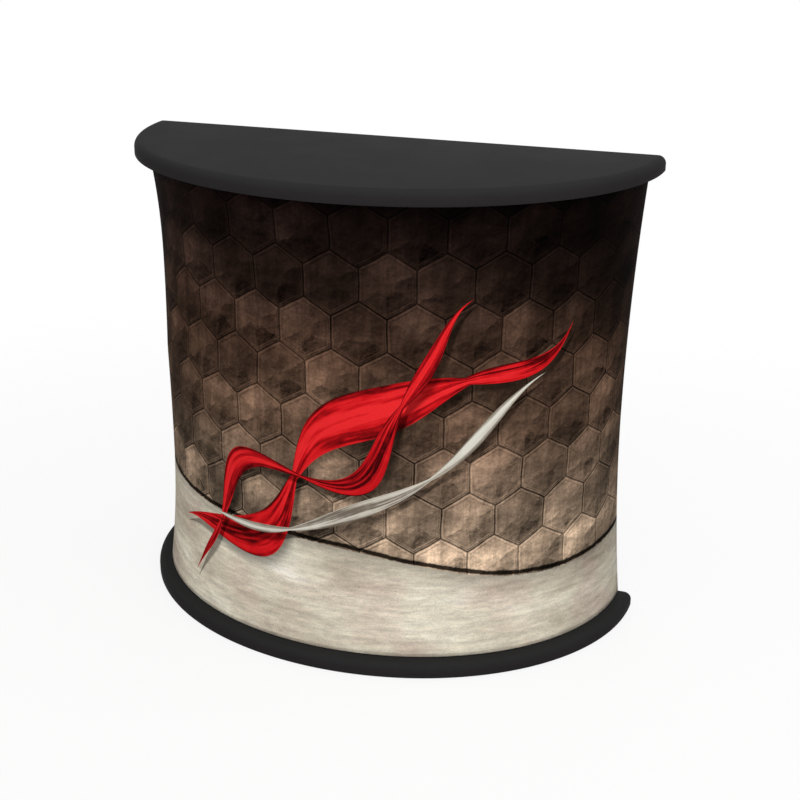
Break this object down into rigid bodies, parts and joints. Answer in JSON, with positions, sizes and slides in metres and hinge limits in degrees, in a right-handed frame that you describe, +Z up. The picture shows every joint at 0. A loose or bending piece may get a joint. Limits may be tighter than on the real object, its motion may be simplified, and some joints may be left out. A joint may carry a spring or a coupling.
{
  "type": "exhibition counter",
  "caption": "Half-round knock-down exhibition counter: black top and base boards, printed stretch-fabric front, open back with a shelf on plug-together tubes.",
  "frame": {"origin": "on the floor, under the middle of the box that the two boards fill", "axes": "+Z up, +X to the right for someone facing the curved front, +Y from the curved front to the open flat back"},
  "size_m": [1.11, 0.476, 1],
  "materials": {
    "board_laminate": "matt black laminate on fibreboard",
    "shelf_laminate": "matt black laminate on fibreboard",
    "printed_fabric": "dye-printed stretch polyester, matt",
    "rail": "black anodised extrusion",
    "bead": "translucent silicone strip",
    "foot": "matt black rubber",
    "nylon": "black moulded nylon",
    "tube": "satin anodised tube",
    "button": "nickel-plated steel",
    "spring": "spring steel strip"
  },
  "bodies": {
    "counter": {"top_board": "board_laminate", "base_board": "board_laminate", "shelf": "shelf_laminate", "graphic_wrap": "printed_fabric", "base_rail": "rail", "top_rail": "rail", "base_bead": "bead", "top_bead": "bead", "foot_1": "foot", "foot_2": "foot", "foot_3": "foot", "foot_4": "foot", "foot_5": "foot", "foot_6": "foot", "base_socket_front_left": "nylon", "top_socket_front_left": "nylon", "shelf_joiner_front_left": "nylon", "lower_upright_front_left": "tube", "upper_upright_front_left": "tube", "base_spring_front_left": "spring", "shelf_spring_front_left": "spring", "top_spring_front_left": "spring", "base_socket_front_right": "nylon", "top_socket_front_right": "nylon", "shelf_joiner_front_right": "nylon", "lower_upright_front_right": "tube", "upper_upright_front_right": "tube", "base_spring_front_right": "spring", "shelf_spring_front_right": "spring", "top_spring_front_right": "spring", "base_socket_rear_left": "nylon", "top_socket_rear_left": "nylon", "shelf_joiner_rear_left": "nylon", "lower_upright_rear_left": "tube", "upper_upright_rear_left": "tube", "base_spring_rear_left": "spring", "shelf_spring_rear_left": "spring", "top_spring_rear_left": "spring", "base_socket_rear_right": "nylon", "top_socket_rear_right": "nylon", "shelf_joiner_rear_right": "nylon", "lower_upright_rear_right": "tube", "upper_upright_rear_right": "tube", "base_spring_rear_right": "spring", "shelf_spring_rear_right": "spring", "top_spring_rear_right": "spring"},
    "base_button_front_left": {"base_button_front_left": "button"},
    "base_button_front_right": {"base_button_front_right": "button"},
    "base_button_rear_left": {"base_button_rear_left": "button"},
    "base_button_rear_right": {"base_button_rear_right": "button"},
    "shelf_button_front_left": {"shelf_button_front_left": "button"},
    "shelf_button_front_right": {"shelf_button_front_right": "button"},
    "shelf_button_rear_left": {"shelf_button_rear_left": "button"},
    "shelf_button_rear_right": {"shelf_button_rear_right": "button"},
    "top_button_front_left": {"top_button_front_left": "button"},
    "top_button_front_right": {"top_button_front_right": "button"},
    "top_button_rear_left": {"top_button_rear_left": "button"},
    "top_button_rear_right": {"top_button_rear_right": "button"}
  },
  "joints": [
    {"name": "base_button_front_left_press", "type": "slide", "parent": "counter", "child": "base_button_front_left", "axis": [0, 1, 0], "range_m": [-0.005, 0], "stiffness_N_per_m": 2000, "springref_m": 0.003, "deforming": ["base_spring_front_left"]},
    {"name": "base_button_front_right_press", "type": "slide", "parent": "counter", "child": "base_button_front_right", "axis": [0, 1, 0], "range_m": [-0.005, 0], "stiffness_N_per_m": 2000, "springref_m": 0.003, "deforming": ["base_spring_front_right"]},
    {"name": "base_button_rear_left_press", "type": "slide", "parent": "counter", "child": "base_button_rear_left", "axis": [0, 1, 0], "range_m": [-0.005, 0], "stiffness_N_per_m": 2000, "springref_m": 0.003, "deforming": ["base_spring_rear_left"]},
    {"name": "base_button_rear_right_press", "type": "slide", "parent": "counter", "child": "base_button_rear_right", "axis": [0, 1, 0], "range_m": [-0.005, 0], "stiffness_N_per_m": 2000, "springref_m": 0.003, "deforming": ["base_spring_rear_right"]},
    {"name": "shelf_button_front_left_press", "type": "slide", "parent": "counter", "child": "shelf_button_front_left", "axis": [0, 1, 0], "range_m": [-0.005, 0], "stiffness_N_per_m": 2000, "springref_m": 0.003, "deforming": ["shelf_spring_front_left"]},
    {"name": "shelf_button_front_right_press", "type": "slide", "parent": "counter", "child": "shelf_button_front_right", "axis": [0, 1, 0], "range_m": [-0.005, 0], "stiffness_N_per_m": 2000, "springref_m": 0.003, "deforming": ["shelf_spring_front_right"]},
    {"name": "shelf_button_rear_left_press", "type": "slide", "parent": "counter", "child": "shelf_button_rear_left", "axis": [0, 1, 0], "range_m": [-0.005, 0], "stiffness_N_per_m": 2000, "springref_m": 0.003, "deforming": ["shelf_spring_rear_left"]},
    {"name": "shelf_button_rear_right_press", "type": "slide", "parent": "counter", "child": "shelf_button_rear_right", "axis": [0, 1, 0], "range_m": [-0.005, 0], "stiffness_N_per_m": 2000, "springref_m": 0.003, "deforming": ["shelf_spring_rear_right"]},
    {"name": "top_button_front_left_press", "type": "slide", "parent": "counter", "child": "top_button_front_left", "axis": [0, 1, 0], "range_m": [-0.005, 0], "stiffness_N_per_m": 2000, "springref_m": 0.003, "deforming": ["top_spring_front_left"]},
    {"name": "top_button_front_right_press", "type": "slide", "parent": "counter", "child": "top_button_front_right", "axis": [0, 1, 0], "range_m": [-0.005, 0], "stiffness_N_per_m": 2000, "springref_m": 0.003, "deforming": ["top_spring_front_right"]},
    {"name": "top_button_rear_left_press", "type": "slide", "parent": "counter", "child": "top_button_rear_left", "axis": [0, 1, 0], "range_m": [-0.005, 0], "stiffness_N_per_m": 2000, "springref_m": 0.003, "deforming": ["top_spring_rear_left"]},
    {"name": "top_button_rear_right_press", "type": "slide", "parent": "counter", "child": "top_button_rear_right", "axis": [0, 1, 0], "range_m": [-0.005, 0], "stiffness_N_per_m": 2000, "springref_m": 0.003, "deforming": ["top_spring_rear_right"]}
  ]
}
